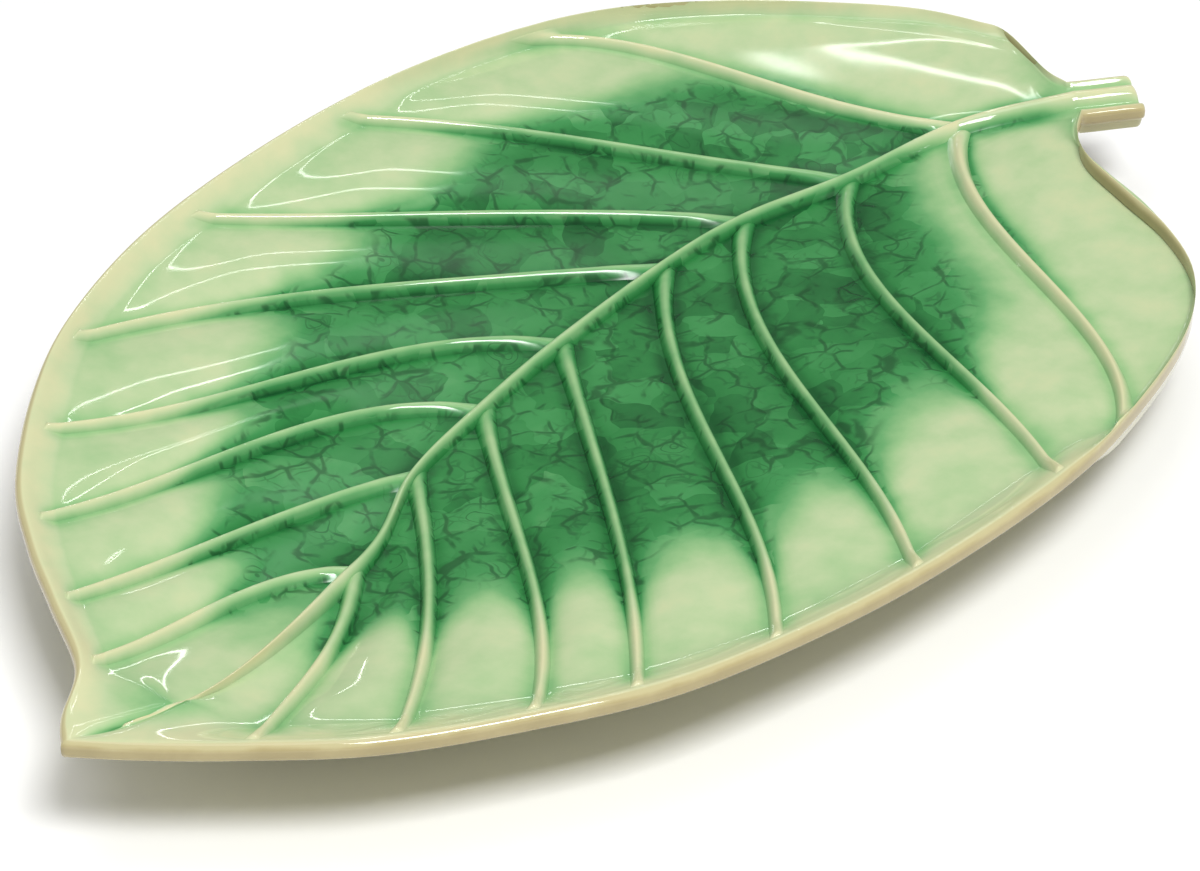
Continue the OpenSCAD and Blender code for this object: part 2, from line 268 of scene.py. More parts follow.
    def lip_at(self, side: Side, t: Array) -> Array:
        """Points on the lip's line at the end of each line of growth.

        The right side's ends lie unevenly, and a plain spline would run back between the
        first two veins there.
        """
        on_stem = self.root_corner(side) - self.stem_way * (self.stem_l * t)[..., None]
        ends = self.vein_ends[side.value]
        reader = spline if side is Side.LEFT else steady_spline
        on_lip = spline(self.lip_points(side), reader(ends, np.clip(t, 0.0, TIP_LINE)))
        return np.where((t < 0)[..., None], on_stem, on_lip)

    def grow(self, side: Side, t: Array, s: Array) -> Array:
        """Points at the share s of the line of growth at place t.

        Args:
            side: Half of the leaf.
            t: Places along the leaf.
            s: Shares of the way from the midrib to the lip.

        Returns:
            Points in plan, in millimetres.
        """
        a = self.midrib_at(t)
        d = self.lip_at(side, t)
        pull = (np.linalg.norm(d - a, axis=-1) * self.pull_share)[..., None]
        b = a + pull * heading(self.along(self.vein_starts[side.value], t))
        c = d - pull * heading(self.along(self.vein_finishes[side.value], t))
        q = s[..., None]
        r = 1.0 - q
        return a * r**3 + 3 * b * r * r * q + 3 * c * r * q * q + d * q**3

    def line_length(self, side: Side, t: Array) -> Array:
        """Straight distance from the midrib to the lip."""
        return np.linalg.norm(self.lip_at(side, t) - self.midrib_at(t), axis=-1)

    def crease_share(self, side: Side, t: Array) -> Array:
        """Share of the line of growth at which the wall begins."""
        plain = self.band_w * self.along(self.band_shares[side.value], t)
        length = self.line_length(side, t)
        room = length - self.midrib_half(t) - self.floor_end_w
        return 1.0 - np.minimum(blend(plain, self.tip_channel_l, smooth(t - VEINS)), room) / length

    def lip_share(self, side: Side, t: Array) -> Array:
        """Share of the line of growth at which the lip starts to round over."""
        return 1.0 - self.lip_r / self.line_length(side, t)

    def midrib_z(self, t: Array) -> Array:
        """Height of the clay under the midrib."""
        rise = self.stem_rise * self.along(self.midrib_rise_shares, t)
        return self.foot_h + self.floor_t + rise + self.stem_lift * smooth(-t)

    def lip_z(self, t: Array) -> Array:
        """Height of the lip."""
        dip = self.stem_dip * (1.0 - smooth(t / self.dip_share))
        return self.plate_h - dip + self.stem_lift * smooth(-t)

    def crease_z(self, side: Side, t: Array) -> Array:
        """Height of the crease between floor and wall."""
        return self.lip_z(t) - self.wall_rise * self.along(self.wall_rise_shares[side.value], t)

    def midrib_half(self, t: Array) -> Array:
        """Half width of the midrib."""
        return self.midrib_half_w * self.along(self.midrib_width_shares, t)

    def face_z(self, side: Side, t: Array, s: Array) -> Array:
        """Height of the plain clay face without pillows and veins."""
        sc = self.crease_share(side, t)
        sl = self.lip_share(side, t)
        inside = blend(self.midrib_z(t), self.crease_z(side, t), (s / sc) ** 2)
        q = (s - sc) / (sl - sc)
        wall = blend(smooth(q), q, self.wall_straight)
        outside = blend(self.crease_z(side, t), self.lip_z(t), wall)
        return np.where(s <= sc, inside, outside)

    def vein_half(self, run: Array) -> Array:
        """Half width of a side vein. run is 0 at the midrib, 1 at the crease and 2 at the lip."""
        on_floor = blend(self.vein_root_taper, self.vein_crease_taper, run)
        on_wall = self.vein_crease_taper + self.vein_wall_taper * (run - 1.0)
        taper = np.clip(np.where(run <= 1.0, on_floor, on_wall), 0.0, 1.0)
        return self.vein_half_w * blend(1.0, self.vein_end_w_share, taper)

    def share_of_run(self, side: Side, t: Array, run: Array) -> Array:
        """Turns a run (0 midrib, 1 crease, 2 lip) into a share of the line of growth."""
        sc = self.crease_share(side, t)
        return np.where(run <= 1.0, sc * run, blend(sc, self.lip_share(side, t), run - 1.0))

    def vein_clear(self, side: Side, k: int, run: Array) -> Array:
        """Distance in plan, square to vein k, that one step of t takes."""
        probe = self.clear_probe
        t = np.full_like(run, float(k))
        s = self.share_of_run(side, t, run)
        away = (self.grow(side, t + probe, s) - self.grow(side, t - probe, s)) / (2 * probe)
        ahead = self.grow(side, t, np.minimum(s + probe, 1))
        way = ahead - self.grow(side, t, np.maximum(s - probe, 0))
        way /= np.linalg.norm(way, axis=-1)[..., None]
        return np.abs(away[..., 0] * -way[..., 1] + away[..., 1] * way[..., 0])

    def vein_step(self, side: Side, k: int, run: Array) -> Array:
        """Step of t from the middle of vein k to its edge."""
        if k < 1 or k > VEINS:
            return np.zeros_like(run)
        return np.minimum(self.vein_half(run) / self.vein_clear(side, k, run), self.most_step)

    def pillow(self, k: Array, f: Array, run: Array) -> Array:
        """Swelling of the clay between two veins.

        Args:
            k: Number of the panel, or -1 on the stem.
            f: Share of the way across the panel, or -1 under a vein.
            run: 0 at the midrib, 1 at the crease and 2 at the lip.

        Returns:
            Height over the plain face, in millimetres.
        """
        share = np.where((k == 0) | (k == VEINS), self.lobe_pillow_share, 1.0)
        power = np.where(k == VEINS, self.tip_pillow_power, self.pillow_power)
        arch = np.sin(np.pi * np.clip(f, 0.0, 1.0)) ** power
        fade = 1.0
        for span in self.pillow_fades:
            fade = fade - 0.5 * ease(run, span)
        rise = self.pillow_h * share * arch * smooth(run / self.pillow_full_run) * fade
        return np.where((k < 0) | (f < 0), 0.0, rise)

    @property
    def middle(self) -> Array:
        """Centre of the blade's box in plan."""
        t = np.linspace(-1.0, TIP_LINE, self.outline_steps)
        lip = np.vstack([self.lip_at(side, t) for side in Side])
        return (lip.min(axis=0) + lip.max(axis=0)) / 2


@dataclass
class Patch:
    """A sheet of points, as columns by rows, with the glaze depth and the rim mask at each."""

    points: Array
    depth: Array
    rim: Array

    def rows(self, pick: slice | list) -> "Patch":
        """Takes out some of the rows."""
        return Patch(self.points[:, pick], self.depth[:, pick], self.rim[:, pick])

    def beside(self, other: "Patch") -> "Patch":
        """Sets another sheet's rows after these."""
        pairs = ((self.points, other.points), (self.depth, other.depth), (self.rim, other.rim))
        return Patch(*(np.concatenate(pair, axis=1) for pair in pairs))

    def closed(self) -> "Patch":
        """Repeats the first row at the end, so that the sheet closes into a tube."""
        return self.beside(self.rows(slice(0, 1)))


@dataclass(frozen=True)
class GlazeLay:
    """How deep the glaze lies, from 0 on bare clay to 1 in the darkest pool.

    Widths are in millimetres. Places along the leaf count the veins, and runs are 0 at the
    midrib, 1 at the crease and 2 at the lip.
    """

    form: LeafForm
    deep: float = 0.84
    pale: float = 0.34
    pool_shares: tuple = (
        (0.30, 0.50, 0.66, 0.64, 0.62, 0.61, 0.60, 0.56, 0.42, 0.15),
        (0.20, 0.50, 0.64, 0.71, 0.71, 0.67, 0.60, 0.52, 0.36, 0.15),
    )
    pool_reach: float = 0.07
    pool_bow: float = 0.12
    pool_bow_power: float = 0.45
    pool_soft: float = 0.12
    pool_starts: tuple = ((0.98, 0.14), (0.98, 0.8))
    pool_end: tuple = (-0.3, 0.9)
    thinning: float = 0.14
    thinning_span: tuple = (4.5, 2.0)
    groove: float = 0.12
    groove_w: float = 2.2
    groove_end: tuple = (1.2, 0.6)
    centre: float = 0.10
    centre_w: float = 3.0
    centre_end: tuple = (0.0, 0.6)
    crease: float = 0.05
    crease_run: float = 0.10
    wall: float = 0.10
    wall_span: tuple = (1.0, 0.9)
    channel: float = 0.16
    channel_start: tuple = (0.3, 0.5)
    channel_middle: float = 1.2
    channel_run: float = 0.5
    lobe_groove: float = 0.28
    lobe_groove_w: float = 4.5
    lobe_groove_end: tuple = (0.35, 0.4)
    lobe_centre: float = 0.26
    lobe_w: float = 8.0
    stem: float = 0.50
    stem_fade: float = 0.10
    stem_edge: float = 0.24
    stem_edge_span: tuple = (0.6, 0.3)
    stem_blend: float = 0.4

    def pool(self, side: Side, t: Array, s: Array, f: Array) -> Array:
        """How full the pool is at the share s of the line of growth at place t."""
        arch = np.sin(np.pi * np.clip(f, 0.0, 1.0)) ** self.pool_bow_power
        reach = self.form.along(self.pool_shares[side.value], t)
        edge = reach + self.pool_reach - self.pool_bow * arch
        tip = 1.0 - ease(t - VEINS, self.pool_end)
        stem = ease(t, self.pool_starts[side.value])
        thinner = 1.0 - self.thinning * ease(t, self.thinning_span)
        inside = 1.0 - smooth((s - edge + self.pool_soft) / (2 * self.pool_soft))
        return thinner * stem * tip * inside

    def groove_distance(self, side: Side, k: Array, f: Array, run: Array, length: Array) -> Array:
        """Distance from the nearest vein, or from the first vein in the lobe."""
        width = np.ones_like(length)
        for j in range(1, VEINS + 1):
            width = np.where(k == j, self.form.vein_clear(side, j, run), width)
        across = np.where(k >= 1, np.minimum(f, 1 - f) * width, self.lobe_w)
        return np.where(f < 0, 0.0, np.where(k == 0, (1 - f) * length * 0.5, across))

    def depth(self, side: Side, t: Array, s: Array, k: Array, f: Array, run: Array) -> Array:
        """Depth over the face: deep in the pool and the grooves, thin on the wall.

        Args:
            side: Half of the leaf.
            t: Places along the leaf.
            s: Shares of the line of growth.
            k: Numbers of the panels, or -1 on the stem.
            f: Shares of the way across the panels, or -1 under a vein.
            run: Runs from the midrib to the lip.

        Returns:
            The depth at each point.
        """
        pool = self.pool(side, t, s, f)
        length = self.form.line_length(side, t)
        across = self.groove_distance(side, k, f, run, length)
        groove = bell(across, self.groove_w) * (1.0 - ease(run, self.groove_end))
        centre = bell(s * length - self.form.midrib_half_w, self.centre_w)
        depth = self.pale + (self.deep - self.pale) * pool + self.groove * groove
        depth = depth + self.centre * centre * (1.0 - ease(t - VEINS, self.centre_end))
        depth = depth + self.crease * bell(run - 1.0, self.crease_run)
        depth = depth - self.wall * ease(run, self.wall_span)
        near_tip = ease(t - VEINS, self.channel_start)
        in_channel = bell(run - self.channel_middle, self.channel_run)
        depth = depth + self.channel * near_tip * in_channel
        beside = bell(across, self.lobe_groove_w) * (1.0 - ease(run, self.lobe_groove_end))
        lobe = depth + np.maximum(self.lobe_groove * beside, self.lobe_centre * centre)
        border = self.stem_edge * ease(s, self.stem_edge_span)
        on_stem = self.stem - self.stem_fade * np.clip(-t, 0, 1) - border
        lobe = blend(on_stem, lobe, smooth(t / self.stem_blend))
        return np.where(k < 0, on_stem, np.where(k == 0, lobe, depth))


def clear_selection() -> None:
    """Deselects everything, because operators act on all that is selected."""
    if bpy.context.object and bpy.context.object.mode != "OBJECT":
        bpy.ops.object.mode_set(mode="OBJECT")
    bpy.ops.object.select_all(action="DESELECT")


def finish_mesh() -> None:
    """Turns the faces of the mesh in edit mode outwards and shades the piece smooth."""
    bpy.ops.mesh.select_all(action="SELECT")
    bpy.ops.mesh.normals_make_consistent(inside=False)
    bpy.ops.object.mode_set(mode="OBJECT")
    bpy.ops.object.shade_smooth()
    clear_selection()


def sheet_from_grid(name: str, patch: Patch) -> Piece:
    """Lays a grid primitive along a sheet's points and closes its ends.

    Args:
        name: Name of the piece.
        patch: The sheet, closed into a tube, in millimetres.

    Returns:
        The finished mesh object, smooth shaded, at the origin.
    """
    columns, rows = patch.points.shape[:2]
    clear_selection()
    bpy.ops.mesh.primitive_grid_add(
        x_subdivisions=columns - 1, y_subdivisions=rows - 1, size=1.0)
    piece = bpy.context.object
    piece.name = name
    piece.data.name = name
    mesh = piece.data
    flat = np.empty(len(mesh.vertices) * 3)
    mesh.vertices.foreach_get("co", flat)
    flat = flat.reshape(-1, 3)
    c = np.rint((flat[:, 0] + 0.5) * (columns - 1)).astype(int)
    r = np.rint((flat[:, 1] + 0.5) * (rows - 1)).astype(int)
    mesh.vertices.foreach_set("co", (patch.points[c, r] * MM).ravel())
    for label, values in (("depth", patch.depth), ("rim", patch.rim)):
        layer = mesh.attributes.new(label, "FLOAT", "POINT")
        layer.data.foreach_set("value", values[c, r].astype(np.float32))
    mesh.update()
    bpy.ops.object.mode_set(mode="EDIT")
    bpy.ops.mesh.select_all(action="SELECT")
    bpy.ops.mesh.remove_doubles(threshold=MERGE_GAP)
    bpy.ops.mesh.dissolve_degenerate(threshold=MERGE_GAP)
    bpy.ops.mesh.select_all(action="DESELECT")
    bpy.ops.mesh.select_non_manifold(
        extend=False, use_wire=False, use_multi_face=False, use_verts=False)
    bpy.ops.mesh.edge_face_add()
    finish_mesh()
    return piece


@dataclass
class LeafBody:
    """The clay leaf under its glaze: floor, pillows, wall, lip, underside and stem."""

    form: LeafForm
    panel_steps: int = 17
    lobe_steps: int = 52
    stem_steps: int = 12
    end_round: float = 1.2
    round_steps: int = 4
    panel_evenness: float = 0.6
    floor_runs: int = 44
    wall_runs: int = 13
    lip_steps: int = 5
    under_steps: int = 32
    seam_run: float = 0.04
    lip_depth: float = 0.22
    lip_thinning: float = 0.13
    side_depth: float = 0.03
    under_depth: float = 0.2
    under_deepening: float = 0.06
    under_shares: tuple = (0.9, 0.64, 0.5, 0.36, 0.22)
    columns: list = field(default_factory=list)

    def __post_init__(self) -> None:
        """Lists each column's panel and place across it, from the stem's end to the tip."""
        round_share = self.end_round / self.form.stem_l
        turn = math.pi / (2 * self.round_steps)
        rounding = [round_share * (1 - math.cos(a * turn)) for a in range(self.round_steps)]
        plain = np.linspace(round_share, 1.0, self.stem_steps, endpoint=False)
        self.columns += [(-1, -1.0 + e) for e in (*rounding, *plain)]
        self.columns += [(0, f) for f in np.linspace(0.0, 1.0, self.lobe_steps)]
        for k in range(1, VEINS + 1):
            self.columns.append((k, -1.0))
            self.columns += [(k, float(blend(smooth(f), f, self.panel_evenness)))
                             for f in np.linspace(0.0, 1.0, self.panel_steps)]

    def own_places(self, side: Side, runs: Array) -> Array:
        """Places along the leaf of every column at every run, for one side alone."""
        rows = []
        for k, f in self.columns:
            if k < 0:
                rows.append(np.full_like(runs, f))
            elif f < 0:
                rows.append(np.full_like(runs, float(k)))
            else:
                near = k + self.form.vein_step(side, k, runs)
                far = k + 1 - self.form.vein_step(side, k + 1, runs)
                rows.append(blend(near, far, f))
        return np.array(rows)

    def places(self, side: Side, runs: Array) -> Array:
        """Places along the leaf, drawn together along the midrib so that both halves meet."""
        own = {s: self.own_places(s, runs) for s in Side}
        mean = (own[Side.LEFT] + own[Side.RIGHT]) / 2
        return blend(mean, own[side], smooth(runs / self.seam_run)[None, :])

    @property
    def lay(self) -> GlazeLay:
        """The glaze that lies on this leaf."""
        return GlazeLay(self.form)

    def face(self, side: Side) -> Patch:
        """The face from the midrib to the lip, as columns by rows."""
        form = self.form
        floor = np.linspace(0.0, 1.0, self.floor_runs)
        wall = np.linspace(1.0, 2.0, self.wall_runs)[1:]
        runs = np.concatenate([floor, wall])
        t = self.places(side, runs)
        run = np.broadcast_to(runs, t.shape)
        s = form.share_of_run(side, t, run)
        k, f = (np.broadcast_to(row[:, None], t.shape) for row in np.array(self.columns).T)
        z = form.face_z(side, t, s) + form.pillow(k, f, run)
        points = with_height(form.grow(side, t, s), z)
        return Patch(points, self.lay.depth(side, t, s, k, f, run), np.zeros(t.shape))

    def under_z(self, plan: Array, z: Array) -> Array:
        """Height of the underside, drawn flat inside the foot's oval."""
        form = self.form
        centre = np.array(form.foot_centre_shares) * [form.leaf_l, form.leaf_w]
        half = np.array([form.foot_l, form.foot_w]) * form.flat_share / 2
        reach = np.linalg.norm((plan - centre) / half, axis=-1)
        return blend(form.foot_h, z, smooth((reach - 1) / form.curl_share))

    def edge_share(self, side: Side, t: Array) -> Array:
        """Share of the line of growth that the midrib covers."""
        form = self.form
        return form.midrib_half(t) / form.line_length(side, t)

    def lip_and_underside(self, side: Side) -> Patch:
        """The rest of the skin, from the lip over the edge and back to the midrib."""
        form = self.form
        t = self.own_places(side, np.array([2.0]))[:, 0]
        top = form.lip_z(t)
        length = form.line_length(side, t)
        rows = []
        depth = []

        def add(distance: Array, z: Array, glaze: float) -> None:
            """Adds a row at a distance in from the lip's outer edge."""
            rows.append(with_height(form.grow(side, t, 1.0 - distance / length), z))
            depth.append(np.full_like(t, glaze))

        turns = np.linspace(0, math.pi / 2, self.lip_steps + 1)[1:]
        for a in turns:
            z = top - form.lip_r * (1 - math.cos(a))
            add(form.lip_r * (1 - math.sin(a)), z, self.lip_depth - self.lip_thinning * a)
        for a in (0.0, *turns):
            z = top - form.lip_t + form.lip_r * (1 - math.sin(a))
            add(form.lip_r * (1 - math.cos(a)), z, self.side_depth * (1.0 + a))
        knots = [rows.pop()]
        depth.pop()

        def add_knot(plan: Array, face: Array) -> None:
            """Adds a knot of the underside, a wall's thickness below the face."""
            knots.append(with_height(plan, self.under_z(plan, face - form.wall_t)))

        heel = form.crease_share(side, t)
        add_knot(form.grow(side, t, heel), form.crease_z(side, t))
        for share in self.under_shares:
            s = blend(self.edge_share(side, t), heel, share)
            add_knot(form.grow(side, t, s), form.face_z(side, t, s))
        seam = self.places(side, np.array([0.0]))[:, 0]
        add_knot(form.midrib_at(seam), form.midrib_z(seam))
        for u in np.linspace(0, len(knots) - 1, self.under_steps):
            rows.append(spline(np.array(knots), np.array(u)))
            glaze = self.under_depth + self.under_deepening * min(u, 1.0)
            depth.append(np.full_like(t, glaze))
        points = np.stack(rows, axis=1)
        return Patch(points, np.stack(depth, axis=1), np.ones(points.shape[:2]))

    def round_stem_end(self, points: Array) -> Array:
        """Draws the first columns in so that the stem's end is rounded over."""
        form = self.form
        rounded = points.copy()
        for c, (k, place) in enumerate(self.columns):
            if k >= 0:
                break
            inner = self.end_round - (place + 1.0) * form.stem_l
            if inner <= 0:
                continue
            inset = self.end_round - math.sqrt(self.end_round**2 - inner**2)
            ring = points[c]
            low, high = ring.min(axis=0), ring.max(axis=0)
            middle = (low + high) / 2
            width = np.linalg.norm((high - low)[:2]) / 2
            rounded[c, :, :2] = middle[:2] + (ring[:, :2] - middle[:2]) * (1 - inset / width)
            tall = (high - low)[2] / 2
            rounded[c, :, 2] = middle[2] + (ring[:, 2] - middle[2]) * (1 - inset / tall)
        return rounded

    def build(self) -> Piece:
        """Builds the leaf as one closed sheet laid from a grid primitive."""
        left, right = (self.face(s).beside(self.lip_and_underside(s)) for s in Side)
        skin = left.beside(right.rows(slice(None, None, -1)))
        skin.points = self.round_stem_end(skin.points) - np.append(self.form.middle, 0.0)
        return sheet_from_grid("leaf_body", skin.closed())


@dataclass
class Ridge:
    """A coil of clay laid on the face. Its skirts dip under the glaze."""

    body: LeafBody
    skirt: float = 0.12
    dip: float = 0.25
    bed: float = 0.7
    roundness: float = 1.05
    across_steps: int = 17
    thinning: float = 0.5

    @property
    def across(self) -> Array:
        """Places across the ridge, from one skirt to the other."""
        return np.linspace(-1.0 - self.skirt, 1.0 + self.skirt, self.across_steps)

    def arch(self, v: Array) -> Array:
        """Height of the ridge across its width, as a share."""
        return np.clip(1.0 - v * v, 0.0, 1.0) ** self.roundness

    def lift(self, height: Array, v: Array) -> Array:
        """Height over the face, and below it at the skirts."""
        return height * self.arch(v) - self.dip * np.maximum(np.abs(v) - 1.0, 0.0) / self.skirt

    def wrap(self, name: str, top: Array, depth: Array) -> Piece:
        """Closes a sheet of ridge points with a bed below and makes it a piece.

        Args:
            name: Name of the piece.
            top: Points over the ridge, as stations by places across.
            depth: Glaze depth at those points.

        Returns:
            The finished ridge.
        """
        middle = np.append(self.body.form.middle, 0.0)
        sheet = Patch(top - middle, depth, np.zeros(depth.shape))
        low = sheet.rows([-1, 0])
        low.points[..., 2] -= self.bed
        return sheet_from_grid(name, sheet.beside(low).closed())


@dataclass
class SideVein(Ridge):
    """One of the sixteen side veins."""

    side: Side = Side.LEFT
    number: int = 1
    stations: int = 72
    end_runs: tuple = (1.66, 1.95)
    flare: float = 0.5
    flare_run: float = 0.05
    thin_from_h: float = 1.2
    height_places: tuple = (0, 0.05, 0.12, 0.2, 0.28, 0.35, 0.43, 0.5, 0.6, 0.75, 0.9, 1)
    height_shares: tuple = (0.45, 0.9, 1, 1, 1, 0.97, 0.9, 0.82, 0.7, 0.52, 0.28, -0.2)

    @property
    def node(self) -> str:
        """Name of the CAD node that this vein stands for."""
        return f"side_vein_{self.side.name.lower()}_{self.number}"

    def build(self) -> Piece:
        """Builds the vein along its line of growth."""
        form = self.body.form
        end_run = self.end_runs[self.side.value]
        runs = np.linspace(0.0, end_run, self.stations)
        run = np.repeat(runs[:, None], self.across_steps, axis=1)
        v = np.broadcast_to(self.across, run.shape)
        flare = 1.0 + self.flare * np.exp(-run / self.flare_run)
        plain = form.vein_half(run) * flare / form.vein_clear(self.side, self.number, run)
        t = self.number + v * np.minimum(plain, form.most_step * flare)
        s = form.share_of_run(self.side, t, run)
        height = form.vein_h * np.interp(run / end_run, self.height_places, self.height_shares)
        z = form.face_z(self.side, t, s) + self.lift(height, v)
        top = with_height(form.grow(self.side, t, s), z)
        k = np.full_like(t, float(self.number))
        depth = self.body.lay.depth(self.side, t, s, k, np.full_like(t, -1.0), run)
        thinner = self.thinning * depth * self.arch(v) * np.clip(height / self.thin_from_h, 0, 1)
        return self.wrap(self.node + "_coil", top, depth - thinner)


@dataclass
class Midrib(Ridge):
    """The coil along the middle of the leaf, from the end of the stem to the tip."""

    stations: int = 300
    start_gap: float = 0.4
    end_fade: float = 0.6
    end_share: float = 0.4
    close_fade: float = 0.05
    most_stretch: float = 2.4
    stretch_span: tuple = (-0.6, 0.8)
    probe: float = 0.02

    def stretch(self, side: Side, t: Array) -> Array:
        """Widens the coil near the tip, where the lines of growth leave it at a slant."""
        form = self.body.form
        ahead = form.midrib_at(np.minimum(t + self.probe, TIP_LINE))
        way = ahead - form.midrib_at(t - self.probe)
        way = way / np.linalg.norm(way, axis=-1)[..., None]
        start = heading(form.along(form.vein_starts[side.value], t))
        slant = np.abs(way[..., 0] * start[..., 1] - way[..., 1] * start[..., 0])
        wide = 1.0 / np.clip(slant, 1.0 / self.most_stretch, 1.0)
        return blend(1.0, wide, ease(t - VEINS, self.stretch_span))

    def build(self) -> Piece:
        """Builds the midrib over both halves' first rows."""
        form = self.body.form
        places = np.linspace(-1.0 + self.start_gap / form.stem_l, TIP_LINE, self.stations)
        t = np.repeat(places[:, None], self.across_steps, axis=1)
        v = np.broadcast_to(self.across, t.shape)
        plan = np.empty(t.shape + (2,))
        z = np.empty(t.shape)
        depth = np.empty(t.shape)
        for side in Side:
            mine = (v * side.sign) >= 0
            s = np.abs(v) * self.body.edge_share(side, t) * self.stretch(side, t)
            plan[mine] = form.grow(side, t, s)[mine]
            z[mine] = form.face_z(side, t, s)[mine]
            k = np.where(t < 0, -1.0, np.where(t < 1.0, 0.0, 1.0))
            run = np.minimum(s / form.crease_share(side, t), 1.0)
            glaze = self.body.lay.depth(side, t, s, k, np.full_like(t, 0.5), run)
            depth[mine] = glaze[mine]
        height = form.midrib_h * form.along(form.midrib_height_shares, t)
        left = TIP_LINE - t
        height = height * blend(self.end_share, 1.0, smooth(left / self.end_fade))
        height = height * smooth(left / self.close_fade)
        from_end = (t + 1.0) * form.stem_l
        height = height * np.sqrt(np.clip(from_end / self.body.end_round, 0.0, 1.0))
        z = z + self.lift(height, v)
        depth = depth - self.thinning * depth * self.arch(v)
        return self.wrap("midrib_coil", with_height(plan, z), depth)


@dataclass
class FootRing:
    """The oval foot ring, with bare clay on its tread."""

    form: LeafForm
    tread: float = 5.0
    bevel: float = 0.8
    bevel_soft: float = 0.3
    sink: float = 0.6
    segments: int = 160

    @property
    def profile(self) -> tuple:
        """Steps round the ring's section, as inset and height."""
        top = self.form.foot_h + self.sink
        half_h = self.form.foot_h * 0.5
        soft = self.bevel * self.bevel_soft
        outer = ((0.0, top), (0.0, half_h), (0.0, self.bevel), (soft, soft), (self.bevel, 0.0))
        inner = tuple((self.tread - inset, z) for inset, z in reversed(outer))
        return (*outer, (self.tread / 2, 0.0), *inner)

    def build(self) -> Piece:
        """Extrudes an oval round the section with edit mode operators."""
        half_l, half_w = self.form.foot_l / 2, self.form.foot_w / 2
        shares = np.array(self.form.foot_centre_shares) * [self.form.leaf_l, self.form.leaf_w]
        centre = shares - self.form.middle
        clear_selection()
        bpy.ops.mesh.primitive_circle_add(
            vertices=self.segments, radius=1.0, fill_type="NOTHING")
        ring = bpy.context.object
        ring.name = "foot_ring_oval"
        bpy.ops.object.mode_set(mode="EDIT")
        bpy.ops.mesh.select_all(action="SELECT")
        bpy.ops.transform.resize(value=(half_l * MM, half_w * MM, 1.0))
        bpy.ops.transform.translate(value=(0, 0, self.profile[0][1] * MM))
        steps = list(self.profile) + [self.profile[0]]
        for (inset_a, z_a), (inset_b, z_b) in zip(steps, steps[1:]):
            bpy.ops.mesh.extrude_edges_move()
            ratio = [(half - inset_b) / (half - inset_a) for half in (half_l, half_w)]
            bpy.ops.transform.resize(value=(*ratio, 1.0))
            bpy.ops.transform.translate(value=(0, 0, (z_b - z_a) * MM))
        bpy.ops.mesh.select_all(action="SELECT")
        bpy.ops.mesh.remove_doubles(threshold=MERGE_GAP)
        bpy.ops.transform.translate(value=(centre[0] * MM, centre[1] * MM, 0))
        finish_mesh()
        return ring


def linear(colour: Rgb) -> tuple[float, float, float, float]:
    """Turns an 8 bit screen colour into the linear colour of a shader socket."""
    channels = []
    for value in colour:
        c = value / 255
        channels.append(c / 12.92 if c <= 0.04045 else ((c + 0.055) / 1.055) ** 2.4)
    return (*channels, 1.0)


@dataclass(frozen=True)
class GlazeFinish:
    """A celadon glaze whose colour follows its depth."""

    stops: tuple = (
        (0.00, (152, 132, 90)), (0.06, (182, 164, 118)), (0.12, (216, 208, 162)),
        (0.24, (208, 210, 166)), (0.34, (186, 204, 158)), (0.46, (150, 190, 134)),
        (0.58, (104, 166, 106)), (0.72, (62, 142, 78)), (0.86, (44, 124, 62)),
        (1.00, (20, 86, 40)),
    )
    crack_colour: Rgb = (10, 52, 26)
    crack_mix: float = 0.6
    crack_depths: tuple = (0.56, 0.72)
    rim_colour: Rgb = (178, 168, 124)
    rim_mix: float = 0.6
    roughness: float = 0.05
    pool_roughness: float = 0.2
    pool_depths: tuple = (0.5, 0.72)
    ior: float = 1.5
    mottle: float = 0.2
    cell_tint: float = 0.2


@dataclass(frozen=True)
class CrackFinish:
    """The cracks in the glaze. Scales are per metre, and pairs are limits of a soft step."""

    cell_m: float = 0.0070
    warp_m: float = 0.00396
    warp_scale: float = 190.0
    flatten: float = 0.3
    width: float = 0.075
    soft_share: float = 0.25
    gap_scale: float = 210.0
    gaps: tuple = (0.36, 0.56)
    fine_cells: float = 2.3
    fine_width: float = 0.12
    fine_gaps: tuple = (0.46, 0.62)
    fine_share: float = 0.55
    ring_cells: float = 0.8
    ring_waves: float = 46.0
    ring_crests: tuple = (0.72, 0.98)
    ring_reach: tuple = (0.34, 0.52)
    ring_chosen: tuple = (0.62, 0.70)
    ring_patch_scale: float = 60.0
    ring_patches: tuple = (0.42, 0.56)
    ring_share: float = 0.8
    cloud_scale: float = 130.0


@dataclass(frozen=True)
class ClayFinish:
    """Bare fired clay with fine grit."""

    colour: Rgb = (176, 156, 124)
    dark: Rgb = (140, 118, 88)
    dark_limits: tuple = (0.42, 0.66)
    roughness: float = 0.82
    grit_m: float = 0.0011
    grit_h: float = 0.0004
    grit_strength: float = 0.35


